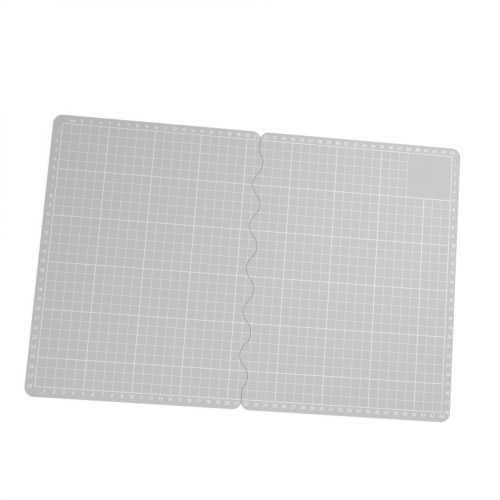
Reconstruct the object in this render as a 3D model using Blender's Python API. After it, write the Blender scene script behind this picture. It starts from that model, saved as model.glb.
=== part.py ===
"""Folding cutting mat: two laminated halves that meet along a wavy cut and fold at a crease in the back sheet.

The mat lies flat on z = 0 with its printed face up. X runs along the long side, Y up the short side, and the
fold lies on the Y axis. Every size is in metres.
"""

import math

import bpy

# Plan of the whole mat
MAT_WIDTH = 0.450
MAT_DEPTH = 0.300
CORNER_RADIUS = 0.010

# Plies from the face down, each glued to the next
FACE_PLY = 0.00055
INNER_PLY = 0.0005
CORE_PLY = 0.0006
BACK_SHEET = 0.0006
BOND_LINE = 0.00005

# Cut between the two halves, through every ply but the back sheet: a wave of equal arcs joined by straight
# flanks that lean by so many degrees, between two straight ends, a little below the middle of the mat
CUT_GAP = 0.00035
WAVE_REACH = 0.0049
WAVE_PITCH = 0.04612
WAVE_DROP = 0.00055
WAVE_END_STRAIGHT = 0.012
FLANK_LEAN = 38.5

# Notch where each end of the cut meets the mat's edge
NOTCH_HALF_WIDTH = 0.0093
NOTCH_DEPTH = 0.0062

# Crease in the back sheet: room between its two leaves, across it when flat and between the backs when folded
CREASE_GAP = 0.0003

# Printed scale: a border with a line at every fifth centimetre, and one square left bare at the top right,
# whose left edge is a fine line
PRINT_FILM = 0.00005
PRINT_LINE = 0.00055
FINE_LINE = 0.00028
PRINT_MARGIN = 0.010
PRINT_SHIFT_X = 0.0005
PRINT_SHIFT_Y = 0.0005
GRID_CELL = 0.010
CELLS_PER_LINE = 5

# Steps along the curved stretches, and the share of a cell that counts as rounding when cells are counted
STEPS_PER_CORNER = 8
STEPS_PER_BOW = 10
CELL_ROUNDING = 1e-6

LEFT = -1
RIGHT = 1


def clear_scene():
    for obj in list(bpy.data.objects):
        bpy.data.objects.remove(obj, do_unlink=True)


def make_material(name, shade, roughness):
    """Neutral plastic of one linear shade of grey."""
    material = bpy.data.materials.new(name)
    material.use_nodes = True
    surface = material.node_tree.nodes["Principled BSDF"]
    surface.inputs["Base Color"].default_value = (shade, shade, shade, 1.0)
    surface.inputs["Roughness"].default_value = roughness
    surface.inputs["Metallic"].default_value = 0.0
    return material


def make_empty(name, location, collection):
    empty = bpy.data.objects.new(name, None)
    empty.empty_display_size = 0.02
    empty.location = location
    collection.objects.link(empty)
    return empty


def make_sheet(name, outlines, bottom, thickness, parent, material, collection):
    """Flat sheet from closed outlines, each a hole where it lies inside another."""
    curve = bpy.data.curves.new(name, "CURVE")
    curve.dimensions = "2D"
    curve.fill_mode = "BOTH"
    curve.extrude = thickness / 2
    for outline in outlines:
        spline = curve.splines.new("POLY")
        spline.points.add(len(outline) - 1)
        for point, (x, y) in zip(spline.points, outline):
            point.co = (x, y, 0.0, 1.0)
        spline.use_cyclic_u = True
    curve.materials.append(material)
    sheet = bpy.data.objects.new(name, curve)
    sheet.parent = parent
    sheet.location.z = bottom + thickness / 2 - parent.location.z
    collection.objects.link(sheet)
    return sheet


def arc(centre_x, centre_y, radius, start, end):
    """Points on an arc, from one angle to another in degrees."""
    step = math.radians(end - start) / STEPS_PER_CORNER
    angles = [math.radians(start) + step * i for i in range(STEPS_PER_CORNER + 1)]
    return [(centre_x + radius * math.cos(a), centre_y + radius * math.sin(a)) for a in angles]


def notch_arc(inner_x):
    """Top notch of a half, from the mat's edge down to the half's inner edge, as x from the fold and y."""
    radius = (NOTCH_HALF_WIDTH**2 + NOTCH_DEPTH**2) / (2 * NOTCH_DEPTH)
    end = 180 - math.degrees(math.acos((NOTCH_HALF_WIDTH - inner_x) / radius))
    return arc(NOTCH_HALF_WIDTH, MAT_DEPTH / 2 - radius, radius, 90, end)


def bow_count():
    """Odd number of bows of the wave that fits between the straight ends of the cut."""
    cut_length = 2 * notch_arc(CUT_GAP / 2)[-1][1]
    room = cut_length - 2 * (WAVE_END_STRAIGHT + WAVE_DROP)
    return 2 * math.floor((room / BOW_LENGTH - 1) / 2) + 1


BOW_LENGTH = WAVE_PITCH / 2
BOWS = bow_count()
WAVE_END = BOWS * BOW_LENGTH / 2

# Radius at which an arc of this reach runs into its flanks, and how far it goes up and down from its middle
LEAN = math.radians(FLANK_LEAN)
ARC_RADIUS = (BOW_LENGTH / 2 * math.sin(LEAN) - WAVE_REACH * math.cos(LEAN)) / (1 - math.cos(LEAN))
ARC_END = ARC_RADIUS * math.sin(LEAN)


def cut_x(y):
    """Where the middle of the cut lies at this height up the mat: bows to the left and the right by turns."""
    height = y + WAVE_DROP
    if abs(height) > WAVE_END:
        return 0.0
    bow = round(height / BOW_LENGTH)
    along = abs(height - bow * BOW_LENGTH)
    if along < ARC_END:
        reach = math.sqrt(ARC_RADIUS**2 - along**2) - ARC_RADIUS + WAVE_REACH
    else:
        reach = (BOW_LENGTH / 2 - along) * math.tan(LEAN)
    return reach if bow % 2 else -reach


def wave_edge(side):
    """A half's wavy edge, from the top end of the wave down to the bottom end."""
    steps = STEPS_PER_BOW * BOWS
    heights = [WAVE_END * (1 - 2 * i / steps) - WAVE_DROP for i in range(steps + 1)]
    return [(cut_x(y) + side * CUT_GAP / 2, y) for y in heights]


def half_outline(side, inner_x, inner_edge):
    """Outline of one half: two outer corners, two notches, and between them the given inner edge."""
    corner_x = MAT_WIDTH / 2 - CORNER_RADIUS
    corner_y = MAT_DEPTH / 2 - CORNER_RADIUS
    top = arc(corner_x, corner_y, CORNER_RADIUS, 0, 90) + notch_arc(inner_x)
    bottom = [(x, -y) for x, y in reversed(top)]
    outline = [(side * x, y) for x, y in top] + inner_edge + [(side * x, y) for x, y in bottom]
    return outline if side == RIGHT else outline[::-1]


def whole_cells(side_length):
    """Grid cells that fit along a side of the mat, inside the print's margin at both ends."""
    return math.floor((side_length - 2 * PRINT_MARGIN) / GRID_CELL + CELL_ROUNDING)


COLUMNS = whole_cells(MAT_WIDTH)
ROWS = whole_cells(MAT_DEPTH)
BARE_SQUARE_TICK = COLUMNS - CELLS_PER_LINE


def tick_x(tick, side):
    """Upright line of the scale, which was printed before the halves came apart by the cut's gap."""
    return PRINT_SHIFT_X + (tick - COLUMNS / 2) * GRID_CELL + side * CUT_GAP / 2


def tick_y(tick):
    """Level line of the scale, counted from the top."""
    return PRINT_SHIFT_Y + (ROWS / 2 - tick) * GRID_CELL


def drawn_ticks(cells):
    """Border and every fifth line between, along a side of the grid."""
    return list(range(0, cells, CELLS_PER_LINE)) + [cells]


def level_line_end(side, y):
    """Inner end of a level line, where the whole of its width still lies on the half."""
    reach = [cut_x(y + shift * PRINT_LINE / 2) for shift in (-1, 0, 1)]
    return max(reach) + CUT_GAP / 2 if side == RIGHT else min(reach) - CUT_GAP / 2


def rectangle(low_x, low_y, high_x, high_y):
    return [(low_x, low_y), (high_x, low_y), (high_x, high_y), (low_x, high_y)]


def row_uprights(side, row, ticks):
    """Upright lines that part one row of openings, each as x and half its width."""
    lines = [(tick_x(tick, side), PRINT_LINE / 2) for tick in ticks]
    if row > 0 or side == LEFT:
        return lines
    lines = [line for line, tick in zip(lines, ticks) if tick <= BARE_SQUARE_TICK or tick == COLUMNS]
    if BARE_SQUARE_TICK not in ticks:
        lines.append((tick_x(BARE_SQUARE_TICK, side), FINE_LINE / 2))
    return sorted(lines)


def print_outlines(side):
    """Lattice of one half's printed lines: its outside, with a tooth at each level line, and its openings."""
    ink = PRINT_LINE / 2
    clear_of_wave = WAVE_REACH + CUT_GAP + PRINT_LINE
    ticks = [tick for tick in drawn_ticks(COLUMNS) if side * tick_x(tick, side) > clear_of_wave]
    levels = [tick_y(tick) for tick in drawn_ticks(ROWS)]
    inner = min((tick_x(tick, side) for tick in ticks), key=abs) - side * ink
    outer = max((tick_x(tick, side) for tick in ticks), key=abs) + side * ink
    outside = [(outer, levels[0] + ink)]
    for y in levels:
        tip = level_line_end(side, y)
        outside += [(inner, y + ink), (tip, y + ink), (tip, y - ink), (inner, y - ink)]
    outside.append((outer, levels[-1] - ink))
    openings = []
    for row, (high, low) in enumerate(zip(levels, levels[1:])):
        uprights = row_uprights(side, row, ticks)
        for (left, left_ink), (right, right_ink) in zip(uprights, uprights[1:]):
            openings.append(rectangle(left + left_ink, low + ink, right - right_ink, high - ink))
    return [outside if side == LEFT else outside[::-1]] + openings


def make_half(side, collection, materials):
    """Plies, back sheet leaf and print of one half, under an empty on the fold's axis."""
    label = "left" if side == LEFT else "right"
    axis = make_empty(f"{label}_half", (0.0, 0.0, -CREASE_GAP / 2), collection)
    wavy = half_outline(side, CUT_GAP / 2, wave_edge(side))
    straight = half_outline(side, CREASE_GAP / 2, [])
    stack = [
        ("back_sheet", straight, BACK_SHEET),
        ("lower_inner_ply", wavy, INNER_PLY),
        ("core_ply", wavy, CORE_PLY),
        ("upper_inner_ply", wavy, INNER_PLY),
        ("face_ply", wavy, FACE_PLY),
    ]
    height = 0.0
    for layer, outline, thickness in stack:
        make_sheet(f"{label}_{layer}", [outline], height, thickness, axis, materials[layer], collection)
        height += thickness + BOND_LINE
    face_top = height - BOND_LINE
    lines = print_outlines(side)
    make_sheet(f"{label}_grid_print", lines, face_top, PRINT_FILM, axis, materials["grid_print"], collection)


def main():
    clear_scene()
    parts = bpy.data.collections.new("folding_cutting_mat")
    bpy.context.scene.collection.children.link(parts)
    inner = make_material("inner_ply_grey", 0.36, 0.60)
    materials = {
        "face_ply": make_material("face_grey", 0.55, 0.55),
        "upper_inner_ply": inner,
        "core_ply": make_material("core_grey", 0.30, 0.50),
        "lower_inner_ply": inner,
        "back_sheet": make_material("back_grey", 0.48, 0.60),
        "grid_print": make_material("ink_white", 0.90, 0.50),
    }
    for side in (LEFT, RIGHT):
        make_half(side, parts, materials)


main()
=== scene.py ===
import math

import bmesh
import bpy
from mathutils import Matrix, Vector


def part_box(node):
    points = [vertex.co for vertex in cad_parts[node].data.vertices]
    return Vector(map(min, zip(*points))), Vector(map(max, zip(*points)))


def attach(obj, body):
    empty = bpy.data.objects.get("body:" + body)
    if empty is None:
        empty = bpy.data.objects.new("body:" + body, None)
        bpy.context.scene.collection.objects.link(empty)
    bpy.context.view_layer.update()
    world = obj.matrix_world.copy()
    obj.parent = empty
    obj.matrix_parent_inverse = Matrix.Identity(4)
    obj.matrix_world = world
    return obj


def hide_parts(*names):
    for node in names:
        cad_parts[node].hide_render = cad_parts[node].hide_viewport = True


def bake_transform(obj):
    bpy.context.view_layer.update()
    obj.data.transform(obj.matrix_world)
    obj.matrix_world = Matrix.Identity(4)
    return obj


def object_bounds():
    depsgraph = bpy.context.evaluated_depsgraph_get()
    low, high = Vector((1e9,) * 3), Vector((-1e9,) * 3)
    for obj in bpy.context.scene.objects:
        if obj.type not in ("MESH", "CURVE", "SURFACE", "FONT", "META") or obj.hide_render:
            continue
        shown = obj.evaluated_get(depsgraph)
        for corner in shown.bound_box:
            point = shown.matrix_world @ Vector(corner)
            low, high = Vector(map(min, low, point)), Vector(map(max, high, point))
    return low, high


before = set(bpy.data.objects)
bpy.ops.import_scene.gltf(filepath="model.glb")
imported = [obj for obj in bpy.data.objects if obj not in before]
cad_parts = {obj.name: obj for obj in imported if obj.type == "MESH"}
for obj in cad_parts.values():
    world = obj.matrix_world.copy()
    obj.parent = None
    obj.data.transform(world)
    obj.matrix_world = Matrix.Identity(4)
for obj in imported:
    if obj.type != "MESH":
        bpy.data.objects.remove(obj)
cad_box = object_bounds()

# A folding cutting mat: two printed halves of laminated plastic that meet along a wavy cut, with one back
# sheet behind both that bends at a crease. Sizes are in metres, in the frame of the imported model: X along
# the long side, Y up the short side with the fold on the Y axis, Z out of the printed face.

LEFT = -1
RIGHT = 1
LABEL = {LEFT: "left", RIGHT: "right"}
SIDES = (LEFT, RIGHT)

# Plan of the mat
MAT_WIDTH = cad_box[1].x - cad_box[0].x
MAT_DEPTH = cad_box[1].y - cad_box[0].y
CORNER_RADIUS = 0.010
NOTCH_HALF_WIDTH = 0.0093
NOTCH_DEPTH = 0.0062

# Cut between the halves: a wave of equal arcs joined by straight flanks, a little below the mat's middle.
# An arc of this reach runs into its flanks at this radius, so far up and down from its middle.
CUT_GAP = 0.00035
WAVE_REACH = 0.0049
WAVE_DROP = 0.00055
BOW_LENGTH = 0.02306
BOWS = 11
LEAN = math.radians(38.5)
ARC_RADIUS = (BOW_LENGTH / 2 * math.sin(LEAN) - WAVE_REACH * math.cos(LEAN)) / (1 - math.cos(LEAN))
ARC_END = ARC_RADIUS * math.sin(LEAN)

# Edges of the sheets, rounded by the die that cuts them
FACE_EDGE_ROUND = 0.00014
PLY_EDGE_ROUND = 0.00004
BACK_EDGE_ROUND = 0.00012
ROUND_PROFILE = 0.5

# Crease pressed into the back sheet
CREASE_HALF_WIDTH = 0.0002
CREASE_CUTS = 12
CREASE_PRESS = 0.00012

# Printed scale: its lines, and its figures, each drawn along a pen's path that is a stroke less high
GRID_CELL = 0.010
COLUMNS = 43
ROWS = 28
CELLS_PER_BOLD_LINE = 5
PRINT_SHIFT = 0.0005
FINE_LINE = 0.00028
BOLD_LINE = 0.00055
FIGURE_HEIGHT = 0.00355
FIGURE_STROKE = 0.00047
PEN_HEIGHT = FIGURE_HEIGHT - FIGURE_STROKE
FIGURE_ADVANCE = 0.0027
FIGURE_ROW_OFFSET = 0.0042
FIGURE_COLUMN_OFFSET = 0.0032
FIGURE_COLUMN_RISE = 0.0004

# Steps along the curved stretches
STEPS_PER_CORNER = 20
STEPS_PER_BOW = 32
STEPS_PER_TURN = 28
FEWEST_STEPS = 4
STEPS_PER_RIM = 3

# Distance under which two points touch, upright share of a level face's direction, and the angle, in
# degrees, from which an edge stays sharp
TOUCHING = 0.000001
LEVEL = 0.9999
SHARP_FROM = 35


# Meshes

def link(name, mesh):
    piece = bpy.data.objects.new(name, mesh)
    bpy.context.scene.collection.objects.link(piece)
    return piece


def mesh_from(name, build):
    """Object whose mesh a function fills through bmesh."""
    shape = bmesh.new()
    build(shape)
    bmesh.ops.recalc_face_normals(shape, faces=shape.faces)
    mesh = bpy.data.meshes.new(name)
    shape.to_mesh(mesh)
    shape.free()
    return link(name, mesh)


def combine(piece, other, operation):
    """Joins another piece to this one, or trims this one to it, and removes the other."""
    modifier = piece.modifiers.new(operation.lower(), "BOOLEAN")
    modifier.operation = operation
    modifier.solver = "EXACT"
    modifier.object = other
    graph = bpy.context.evaluated_depsgraph_get()
    mesh = bpy.data.meshes.new_from_object(piece.evaluated_get(graph))
    piece.modifiers.clear()
    piece.data = mesh
    bpy.data.objects.remove(other, do_unlink=True)


def shade(piece):
    """Smooth shading round the edges, with the level faces left flat so that the rims don't tint them."""
    piece.data.shade_smooth()
    piece.data.set_sharp_from_angle(angle=math.radians(SHARP_FROM))
    for face in piece.data.polygons:
        face.use_smooth = abs(face.normal.z) < LEVEL


def arc(centre_x, centre_y, radius, start, end, steps=STEPS_PER_CORNER):
    """Points on an arc, from one angle to another in degrees."""
    step = math.radians(end - start) / steps
    angles = [math.radians(start) + step * i for i in range(steps + 1)]
    return [(centre_x + radius * math.cos(a), centre_y + radius * math.sin(a)) for a in angles]


def notch_arc(inner_x):
    """Top notch of a half, from the mat's edge down to the half's inner edge, as x from the fold and y."""
    radius = (NOTCH_HALF_WIDTH**2 + NOTCH_DEPTH**2) / (2 * NOTCH_DEPTH)
    end = 180 - math.degrees(math.acos((NOTCH_HALF_WIDTH - inner_x) / radius))
    return arc(NOTCH_HALF_WIDTH, MAT_DEPTH / 2 - radius, radius, 90, end)


def corner_and_notch(inner_x):
    """Right half's top edge, from the outer corner to the notch's foot."""
    corner_x = MAT_WIDTH / 2 - CORNER_RADIUS
    corner_y = MAT_DEPTH / 2 - CORNER_RADIUS
    return arc(corner_x, corner_y, CORNER_RADIUS, 0, 90) + notch_arc(inner_x)


def bow_x(y):
    """Where the middle of the cut lies at this height up the wave: arcs to left and right by turns."""
    bow = round(y / BOW_LENGTH)
    along = abs(y - bow * BOW_LENGTH)
    if along < ARC_END:
        reach = math.sqrt(ARC_RADIUS**2 - along**2) - ARC_RADIUS + WAVE_REACH
    else:
        reach = (BOW_LENGTH / 2 - along) * math.tan(LEAN)
    return reach if bow % 2 else -reach


def wave_edge(side, inner_x):
    """A half's wavy edge, from the top end of the wave down to the bottom end."""
    steps = STEPS_PER_BOW * BOWS
    heights = [BOWS * BOW_LENGTH * (0.5 - i / steps) for i in range(steps + 1)]
    return [(bow_x(y) + side * inner_x, y - WAVE_DROP) for y in heights]


def half_outline(side, inset=0.0):
    """Outline of one half's cut plies, drawn back from the cut by the inset."""
    inner_x = CUT_GAP / 2 + inset
    top = [(side * x, y) for x, y in corner_and_notch(inner_x)]
    bottom = [(x, -y) for x, y in reversed(top)]
    return top + wave_edge(side, inner_x) + bottom


def whole_outline():
    """Outline of the back sheet, which runs across the fold."""
    top = corner_and_notch(0.0)
    right = [(x, -y) for x, y in reversed(top)] + top
    return right + [(-x, y) for x, y in reversed(right)][1:-1]


def add_prism(shape, outline, bottom, top):
    """Upright walls and flat ends over an outline."""
    ring = [shape.verts.new((x, y, bottom)) for x, y in outline]
    floor = shape.faces.new(ring)
    raised = bmesh.ops.extrude_face_region(shape, geom=[floor], use_keep_orig=True)
    corners = [part for part in raised["geom"] if isinstance(part, bmesh.types.BMVert)]
    bmesh.ops.translate(shape, verts=corners, vec=(0, 0, top - bottom))


def round_rims(shape, heights, radius):
    """Rounds the edges that run round the outline at these heights."""
    def on_rim(edge):
        return any(all(abs(v.co.z - z) < TOUCHING for v in edge.verts) for z in heights)

    rims = [edge for edge in shape.edges if on_rim(edge)]
    rounding = {"offset": radius, "segments": STEPS_PER_RIM, "profile": ROUND_PROFILE}
    bmesh.ops.bevel(shape, geom=rims, affect="EDGES", **rounding)


def make_ply(name, side, bottom, top, radius, both_rims):
    """One cut ply of a half, with its rims rounded."""
    def build(shape):
        add_prism(shape, half_outline(side), bottom, top)
        round_rims(shape, (bottom, top) if both_rims else (top,), radius)

    ply = mesh_from(name, build)
    shade(ply)
    return ply


def make_back_sheet(bottom, top):
    """Back sheet in one piece, smooth-shaded across the crease, with the crease pressed into its underside.
    """
    def build(shape):
        add_prism(shape, whole_outline(), bottom, top)
        round_rims(shape, (bottom, top), BACK_EDGE_ROUND)
        for i in range(CREASE_CUTS + 1):
            place = (CREASE_HALF_WIDTH * (2 * i / CREASE_CUTS - 1), 0, 0)
            whole = list(shape.verts) + list(shape.edges) + list(shape.faces)
            bmesh.ops.bisect_plane(shape, geom=whole, dist=TOUCHING, plane_co=place, plane_no=(1, 0, 0))
        for point in shape.verts:
            across = abs(point.co.x) / CREASE_HALF_WIDTH
            if across < 1 and point.co.z < (bottom + top) / 2:
                point.co.z += CREASE_PRESS * (0.5 + 0.5 * math.cos(math.pi * across))

    sheet = mesh_from("back_sheet", build)
    shade(sheet)
    for face in sheet.data.polygons:
        if abs(face.center.x) < CREASE_HALF_WIDTH:
            face.use_smooth = True
    return sheet


# Print

def tick_x(tick, side):
    """Upright line of the scale, which was printed before the halves came apart by the cut's gap."""
    return PRINT_SHIFT + (tick - COLUMNS / 2) * GRID_CELL + side * CUT_GAP / 2


def tick_y(tick):
    """Level line of the scale, counted from the top."""
    return PRINT_SHIFT + (ROWS / 2 - tick) * GRID_CELL


def line_width(tick, cells):
    return BOLD_LINE if tick % CELLS_PER_BOLD_LINE == 0 or tick == cells else FINE_LINE


def in_bare_square(column, row):
    """Whether a place, in cells from the top left, lies in the square that has no lines."""
    return COLUMNS - CELLS_PER_BOLD_LINE < column < COLUMNS and 0 < row < CELLS_PER_BOLD_LINE


def strip_bounds(place, ticks, cells):
    """Edges of every line across one direction of the grid, in order: two to a line."""
    bounds = []
    for tick in ticks:
        half = line_width(tick, cells) / 2
        bounds += [(place(tick) - half, tick), (place(tick) + half, tick)]
    return sorted(bounds)


def make_print_lines(side, bottom, top):
    """Lattice of the printed lines on one half, trimmed to the half's wavy edge."""
    middle = COLUMNS // 2
    columns = range(0, middle + 2) if side == LEFT else range(middle, COLUMNS + 1)
    uprights = strip_bounds(lambda tick: tick_x(tick, side), columns, COLUMNS)
    levels = strip_bounds(tick_y, range(ROWS + 1), ROWS)

    def build(shape):
        corners = {}

        def corner(i, j):
            if (i, j) not in corners:
                corners[i, j] = shape.verts.new((uprights[i][0], levels[j][0], bottom))
            return corners[i, j]

        for i in range(len(uprights) - 1):
            for j in range(len(levels) - 1):
                on_upright = i % 2 == 0
                on_level = j % 2 == 0
                column = (uprights[i][1] + uprights[i + 1][1]) / 2
                row = (levels[j][1] + levels[j + 1][1]) / 2
                if (on_upright or on_level) and not in_bare_square(column, row):
                    around = ((i, j), (i + 1, j), (i + 1, j + 1), (i, j + 1))
                    shape.faces.new([corner(*place) for place in around])
        faces = list(shape.faces)
        raised = bmesh.ops.extrude_face_region(shape, geom=faces, use_keep_orig=True)
        lifted = [part for part in raised["geom"] if isinstance(part, bmesh.types.BMVert)]
        bmesh.ops.translate(shape, verts=lifted, vec=(0, 0, top - bottom))

    lines = mesh_from(f"{LABEL[side]}_print_lines", build)

    def build_half(shape):
        add_prism(shape, half_outline(side, FACE_EDGE_ROUND), bottom - GRID_CELL, top + GRID_CELL)

    combine(lines, mesh_from("half_outline", build_half), "INTERSECT")
    return lines


# Figures

# Each is a list of strokes on a box one unit high and FIGURE_BOX wide, with round bowls of radius BOWL. A
# stroke is its points, and whether it closes. Its corners reach out by half its width over MITRE_LIMIT or
# less.
FIGURE_BOX = 0.60
BOWL = FIGURE_BOX / 2
HIGH = 1 - BOWL
MITRE_LIMIT = 0.5


def turn(x, y, radius, start, end):
    """Part of a circle as a pen draws it, clockwise where the end angle is the smaller."""
    steps = max(FEWEST_STEPS, round(STEPS_PER_TURN * abs(end - start) / 360))
    return arc(x, y, radius, start, end, steps)


def ring(y, radius):
    return turn(BOWL, y, radius, 0, 360)[:-1], True


def half_turned(strokes):
    return [([(FIGURE_BOX - x, 1 - y) for x, y in path], closed) for path, closed in strokes]


SIX = [
    ring(BOWL, BOWL),
    ([(0.0, BOWL)] + turn(BOWL, HIGH, BOWL, 180, 40), False),
]

STROKES = {
    "0": [(turn(BOWL, HIGH, BOWL, 0, 180) + turn(BOWL, BOWL, BOWL, 180, 360), True)],
    "1": [([(0.12, 0.77), (0.36, 0.99), (0.36, 0.0)], False)],
    "2": [(turn(BOWL, HIGH, BOWL, 168, -34) + [(0.02, 0.0), (FIGURE_BOX, 0.0)], False)],
    "3": [
        (turn(0.29, 0.76, 0.24, 160, -90) + [(0.18, 0.52)], False),
        ([(0.20, 0.52)] + turn(0.29, 0.26, 0.26, 90, -160), False),
    ],
    "4": [([(0.46, 0.0), (0.46, 1.0)], False), ([(0.43, 0.98), (0.0, 0.27), (FIGURE_BOX, 0.27)], False)],
    "5": [
        ([(0.54, 1.0), (0.10, 1.0), (0.06, 0.54)], False),
        (turn(0.28, 0.29, 0.29, 138, -152), False),
    ],
    "6": SIX,
    "7": [([(0.0, 1.0), (0.58, 1.0), (0.20, 0.0)], False)],
    "8": [ring(0.76, 0.24), ring(0.27, 0.27)],
    "9": half_turned(SIX),
    "c": [(turn(0.27, 0.28, 0.28, 50, 310), False)],
    "m": [
        ([(0.0, 0.0), (0.0, 0.58)], False),
        (turn(0.18, 0.40, 0.18, 170, 0) + [(0.36, 0.0)], False),
        (turn(0.54, 0.40, 0.18, 170, 0) + [(0.72, 0.0)], False),
    ],
}

# Share of the usual advance that a narrow or a wide one takes
WIDTHS = {"1": 0.84, "c": 0.84, "m": 1.20}


def add_stroke(shape, path, closed, bottom, top):
    """Ribbon of the pen's width along a path, mitred at its corners."""
    points = [Vector(point) for point in path]
    count = len(points)
    sides = []
    for i, point in enumerate(points):
        before = points[i - 1] if closed or i > 0 else point
        after = points[(i + 1) % count] if closed or i < count - 1 else point
        into = (point - before).normalized() if point != before else (after - point).normalized()
        out = (after - point).normalized() if after != point else into
        across = Vector((-into.y - out.y, into.x + out.x)).normalized()
        reach = FIGURE_STROKE / 2 / max(MITRE_LIMIT, across.dot(Vector((-out.y, out.x))))
        sides.append((point + across * reach, point - across * reach))
    rows = [[shape.verts.new((x, y, z)) for z in (bottom, top) for x, y in pair] for pair in sides]
    links = list(zip(rows, rows[1:] + rows[:1])) if closed else list(zip(rows, rows[1:]))
    for (a, b, c, d), (e, f, g, h) in links:
        for face in ((a, b, f, e), (c, g, h, d), (a, e, g, c), (b, d, h, f)):
            shape.faces.new(face)
    if not closed:
        for a, b, c, d in (rows[0], rows[-1]):
            shape.faces.new((a, b, d, c))


def make_figure(letter, bottom, top):
    """Mesh of one figure in its real size, its strokes joined, with its lower left at the origin."""
    def make_stroke(path, closed):
        placed = [(PEN_HEIGHT * u, PEN_HEIGHT * v) for u, v in path]
        return mesh_from("stroke", lambda shape: add_stroke(shape, placed, closed, bottom, top))

    first, *others = [make_stroke(path, closed) for path, closed in STROKES[letter]]
    for other in others:
        combine(first, other, "UNION")
    mesh = first.data
    bpy.data.objects.remove(first, do_unlink=True)
    return mesh


def advance(letter):
    return FIGURE_ADVANCE * WIDTHS.get(letter, 1.0)


def text_width(text):
    return sum(advance(letter) for letter in text) - FIGURE_ADVANCE + FIGURE_BOX * PEN_HEIGHT


def add_text(shape, font, text, left, centre_y):
    """A number, from its first figure's left side."""
    x = left
    y = centre_y - PEN_HEIGHT / 2
    for letter in text:
        count = len(shape.verts)
        shape.from_mesh(font[letter])
        shape.verts.ensure_lookup_table()
        bmesh.ops.translate(shape, verts=shape.verts[count:], vec=(x, y, 0))
        x += advance(letter)


def make_figures(font, side):
    """Ruler figures of one half: along the top and the bottom, and down the outer edge."""
    def build(shape):
        border_x = tick_x(0 if side == LEFT else COLUMNS, side)
        for tick in range(1, COLUMNS + 1):
            if (tick > COLUMNS // 2) != (side == RIGHT):
                continue
            for edge, row in ((1, 0), (-1, ROWS)):
                text = "1cm" if tick == 1 and edge == 1 else str(tick)
                left = tick_x(tick, side) - text_width(text) / 2
                add_text(shape, font, text, left, tick_y(row) + edge * FIGURE_ROW_OFFSET)
        for tick in range(1, ROWS + 1):
            text = str(tick)
            near = border_x + side * FIGURE_COLUMN_OFFSET
            left = near if side == RIGHT else near - text_width(text)
            add_text(shape, font, text, left, tick_y(tick) + FIGURE_COLUMN_RISE)

    return mesh_from(f"{LABEL[side]}_figures", build)


# Materials

class Value:
    """A socket that takes part in sums as a number would: each operator adds a Math node."""

    def __init__(self, nodes, socket):
        self.nodes = nodes
        self.socket = socket

    def math(self, operation, first, second):
        return self.nodes.node("ShaderNodeMath", {"operation": operation}, {0: first, 1: second})

    def __add__(self, other):
        return self.math("ADD", self, other)

    def __sub__(self, other):
        return self.math("SUBTRACT", self, other)

    def __rsub__(self, other):
        return self.math("SUBTRACT", other, self)

    def __mul__(self, other):
        return self.math("MULTIPLY", self, other)

    __radd__ = __add__
    __rmul__ = __mul__


class Nodes:
    """Adds nodes to a tree and feeds their sockets."""

    def __init__(self, tree):
        self.tree = tree

    def node(self, kind, settings, inputs, output=0):
        """Adds a node: its settings first, then a value or a link for each named socket."""
        node = self.tree.nodes.new(kind)
        for key, value in settings.items():
            setattr(node, key, value)
        for key, value in inputs.items():
            self.feed(node.inputs[key], value)
        return Value(self, node.outputs[output])

    def feed(self, socket, value):
        if isinstance(value, Value):
            self.tree.links.new(value.socket, socket)
        else:
            socket.default_value = value


class Finish(Nodes):
    """A material under construction, with the noises and mixes that the finishes share."""

    # Places of the colours on a Mix node, where names stand for numbers and vectors too
    FIRST_COLOUR = 6
    SECOND_COLOUR = 7
    MIXED_COLOUR = 2

    def __init__(self, name):
        self.material = bpy.data.materials.new(name)
        self.material.use_nodes = True
        super().__init__(self.material.node_tree)
        self.surface = self.tree.nodes["Principled BSDF"]
        self.place = self.node("ShaderNodeTexCoord", {}, {}, "Object")

    def noise(self, size, detail=2.0, roughness=0.5, place=None):
        """Noise between 0 and 1 whose blotches are about this size across, in metres."""
        sockets = {"Vector": place or self.place, "Scale": 1 / size}
        return self.node("ShaderNodeTexNoise", {}, sockets | {"Detail": detail, "Roughness": roughness})

    def stretched(self, x, y, z):
        """Coordinates scaled along each axis, for streaks."""
        return self.node("ShaderNodeVectorMath", {"operation": "MULTIPLY"}, {0: self.place, 1: (x, y, z)})

    def mask(self, value, low, high):
        """0 where the value is under the low limit and 1 over the high one, smooth between."""
        sockets = {"Value": value, "From Min": low, "From Max": high}
        return self.node("ShaderNodeMapRange", {"interpolation_type": "SMOOTHSTEP"}, sockets)

    def mix(self, factor, first, second):
        """Colour between two others."""
        sockets = {"Factor": factor, self.FIRST_COLOUR: first, self.SECOND_COLOUR: second}
        return self.node("ShaderNodeMix", {"data_type": "RGBA"}, sockets, self.MIXED_COLOUR)

    def bump(self, height, depth, strength):
        sockets = {"Height": height, "Distance": depth, "Strength": strength}
        return self.node("ShaderNodeBump", {}, sockets)

    def set(self, **sockets):
        """Feeds the shader's sockets, each named with underscores for spaces."""
        for key, value in sockets.items():
            self.feed(self.surface.inputs[key.replace("_", " ")], value)
        return self.material


def grey(shade_of_grey):
    return (shade_of_grey, shade_of_grey, shade_of_grey, 1.0)


def face_finish():
    """Soft matt plastic with a fine even grain and a faint cloudiness."""
    finish = Finish("face_plastic")
    cloud = finish.noise(size=0.030, detail=3.0)
    grain = finish.mask(finish.noise(size=0.0006, roughness=0.6), low=0.30, high=0.70)
    pebble = finish.noise(size=0.00035, roughness=0.6)
    sheen = finish.noise(size=0.012, detail=3.0)
    return finish.set(
        Base_Color=finish.mix(cloud * 0.4 + grain * 0.6, grey(0.526), grey(0.574)),
        Roughness=0.50 + 0.12 * sheen,
        Specular_IOR_Level=0.4,
        Normal=finish.bump(pebble, depth=0.00004, strength=0.8),
    )


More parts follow.
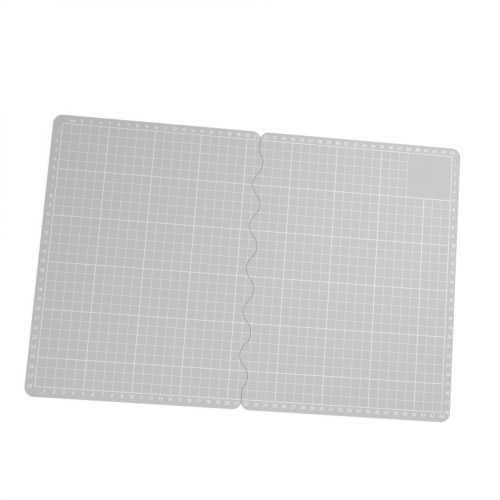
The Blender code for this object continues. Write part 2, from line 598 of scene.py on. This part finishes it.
def ply_finish(name, dark, pale):
    """Cut plastic, with the fine streaks that a die leaves across the ply's edge."""
    finish = Finish(name)
    streak = finish.noise(size=0.0006, roughness=0.6, place=finish.stretched(1.0, 1.0, 0.15))
    cloud = finish.noise(size=0.008)
    return finish.set(
        Base_Color=finish.mix(streak * 0.6 + cloud * 0.4, grey(dark), grey(pale)),
        Roughness=0.55 + 0.2 * streak,
        Specular_IOR_Level=0.4,
        Normal=finish.bump(streak, depth=0.00003, strength=0.5),
    )


def back_finish():
    """Flexible plastic with a pebbled grain, and pale rubs where it slides on a table."""
    finish = Finish("back_plastic")
    pebble = finish.mask(finish.noise(size=0.0011, detail=3.0, roughness=0.55), low=0.30, high=0.70)
    cloud = finish.noise(size=0.045, detail=3.0)
    rub = finish.mask(finish.noise(size=0.010, detail=4.0, roughness=0.6), low=0.60, high=0.80)
    body = finish.mix(cloud * 0.5 + pebble * 0.5, grey(0.42), grey(0.52))
    return finish.set(
        Base_Color=finish.mix(rub * 0.25, body, grey(0.56)),
        Roughness=0.62 - 0.14 * rub + 0.08 * pebble,
        Specular_IOR_Level=0.4,
        Normal=finish.bump(pebble, depth=0.00008, strength=0.5),
    )


def ink_finish():
    """White printed ink, a little thin in places where the grain shows through."""
    finish = Finish("print_ink")
    thin = finish.mask(finish.noise(size=0.0004, roughness=0.6), low=0.35, high=0.75)
    return finish.set(
        Base_Color=finish.mix(thin, grey(0.93), grey(0.88)),
        Roughness=0.42 + 0.1 * thin,
        Specular_IOR_Level=0.45,
        Normal=finish.bump(thin, depth=0.00001, strength=0.4),
    )


# Assembly

def dress(piece, material, slot, *nodes):
    piece.data.materials.clear()
    piece.data.materials.append(material)
    if nodes:
        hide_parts(*nodes)


def node_heights(node):
    low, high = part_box(node)
    return low.z, high.z


def build_mat():
    face = face_finish()
    inner = ply_finish("inner_ply_plastic", 0.31, 0.40)
    core = ply_finish("core_plastic", 0.25, 0.33)
    ink = ink_finish()
    plies = (
        ("lower_inner_ply", inner, "inner_ply"),
        ("core_ply", core, "core"),
        ("upper_inner_ply", inner, "inner_ply"),
        ("face_ply", face, "face"),
    )
    print_heights = node_heights("left_grid_print")
    font = {letter: make_figure(letter, *print_heights) for letter in STROKES}
    for side in SIDES:
        label = LABEL[side]
        body = f"{label}_half"
        tops = [node_heights(f"{label}_{kind}")[1] for kind, _, _ in plies]
        bottoms = [node_heights(f"{label}_back_sheet")[1]] + tops[:-1]
        for (kind, material, slot), bottom, top in zip(plies, bottoms, tops):
            radius = FACE_EDGE_ROUND if kind == "face_ply" else PLY_EDGE_ROUND
            node = f"{label}_{kind}"
            ply = make_ply(f"{node}_sheet", side, bottom, top, radius, both_rims=kind != "face_ply")
            dress(ply, material, slot, node)
            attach(ply, body)
        lines = make_print_lines(side, *print_heights)
        dress(lines, ink, "ink", f"{label}_grid_print")
        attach(lines, body)
        figures = make_figures(font, side)
        dress(figures, ink, "ink")
        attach(figures, body)
    back = make_back_sheet(*node_heights("left_back_sheet"))
    dress(back, back_finish(), "back", "left_back_sheet", "right_back_sheet")
    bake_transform(back)


# Studio

# Floor, and the room under the flat mat that it leaves for a folded half
FLOOR_HALF_SIDE = 6.0
FLOOR_CLEARANCE = 0.00002
FOLDED_GAP = 0.0003

# White that the camera sees on the floor: its level, its share near the mat, and how far from the middle
# that share begins to grow and reaches the whole
FLOOR_WHITE = 1.12
FLOOR_WHITE_SHARE = 0.75
FLOOR_FADE = (0.28, 0.6)

# Light from the surroundings and from the lamps
WORLD_LIGHT = 0.447
SOFTBOXES = (
    # name, place, size, watts
    ("key_softbox", (0.33, 0.17, 0.61), 0.5, 2.32),
    ("fill_softbox", (-0.14, -0.27, 0.50), 0.5, 0.815),
)

# Camera, with its turn in degrees, and its focal length and picture in pixels
CAMERA_PLACE = (-0.01752, -0.00906, 0.43399)
CAMERA_TURN = (3.558, -2.271, 4.231)
FOCAL_PIXELS = 400
PICTURE_PIXELS = 500
SENSOR_WIDTH = 36
NEAREST_SEEN = 0.01


def seen_directly(tree_node):
    """1 for rays from the camera and those that gloss or glass send on, 0 for the light that falls."""
    camera_ray = tree_node("ShaderNodeLightPath", {}, {}, "Is Camera Ray")
    glossy_ray = tree_node("ShaderNodeLightPath", {}, {}, "Is Glossy Ray")
    clear_ray = tree_node("ShaderNodeLightPath", {}, {}, "Is Transmission Ray")
    either = tree_node("ShaderNodeMath", {"operation": "MAXIMUM"}, {0: camera_ray, 1: glossy_ray})
    return tree_node("ShaderNodeMath", {"operation": "MAXIMUM"}, {0: either, 1: clear_ray})


def floor_finish():
    """White paper that keeps a faint shadow round the mat and fades into the white surroundings."""
    finish = Finish("studio_floor")
    paper = finish.mix(finish.noise(size=0.02), grey(0.86), grey(0.88))
    finish.set(Base_Color=paper, Roughness=0.9, Specular_IOR_Level=0.1)
    seen = seen_directly(finish.node)
    lit = Value(finish, finish.surface.outputs[0])
    white = finish.node("ShaderNodeEmission", {}, {"Color": grey(1.0), "Strength": FLOOR_WHITE})
    distance = finish.node("ShaderNodeVectorMath", {"operation": "LENGTH"}, {0: finish.place}, "Value")
    share = FLOOR_WHITE_SHARE + (1 - FLOOR_WHITE_SHARE) * finish.mask(distance, *FLOOR_FADE)
    shown = finish.node("ShaderNodeMixShader", {}, {0: seen * share, 1: lit, 2: white})
    finish.feed(finish.tree.nodes["Material Output"].inputs["Surface"], shown)
    return finish.material


def build_floor():
    """Floor just under the space that a half takes when it is folded under the other one."""
    def build(shape):
        bmesh.ops.create_grid(shape, x_segments=1, y_segments=1, size=FLOOR_HALF_SIDE)

    floor = mesh_from("studio_floor", build)
    mat_thickness = cad_box[1].z - cad_box[0].z
    floor.location.z = cad_box[0].z - FOLDED_GAP - mat_thickness - FLOOR_CLEARANCE
    floor.data.materials.append(floor_finish())


def build_world():
    """Even white surroundings: seen as pure white, and lighting the mat more gently."""
    world = bpy.data.worlds.new("studio_world")
    world.use_nodes = True
    bpy.context.scene.world = world
    sky = Nodes(world.node_tree)
    background = world.node_tree.nodes["Background"]
    sky.feed(background.inputs["Color"], grey(1.0))
    sky.feed(background.inputs["Strength"], WORLD_LIGHT + (1 - WORLD_LIGHT) * seen_directly(sky.node))


def build_lights():
    for name, place, size, watts in SOFTBOXES:
        lamp = bpy.data.lights.new(name, "AREA")
        lamp.shape = "SQUARE"
        lamp.size = size
        lamp.energy = watts
        box = link(name, lamp)
        box.location = place
        box.rotation_euler = (-Vector(place)).to_track_quat("-Z", "Y").to_euler()


def build_camera():
    camera = bpy.data.cameras.new("camera")
    camera.sensor_width = SENSOR_WIDTH
    camera.lens = SENSOR_WIDTH * FOCAL_PIXELS / PICTURE_PIXELS
    camera.clip_start = NEAREST_SEEN
    holder = link("camera", camera)
    holder.location = CAMERA_PLACE
    holder.rotation_euler = [math.radians(angle) for angle in CAMERA_TURN]
    bpy.context.scene.camera = holder


build_mat()
build_floor()
build_world()
build_lights()
build_camera()
bpy.context.scene.view_settings.view_transform = "Standard"
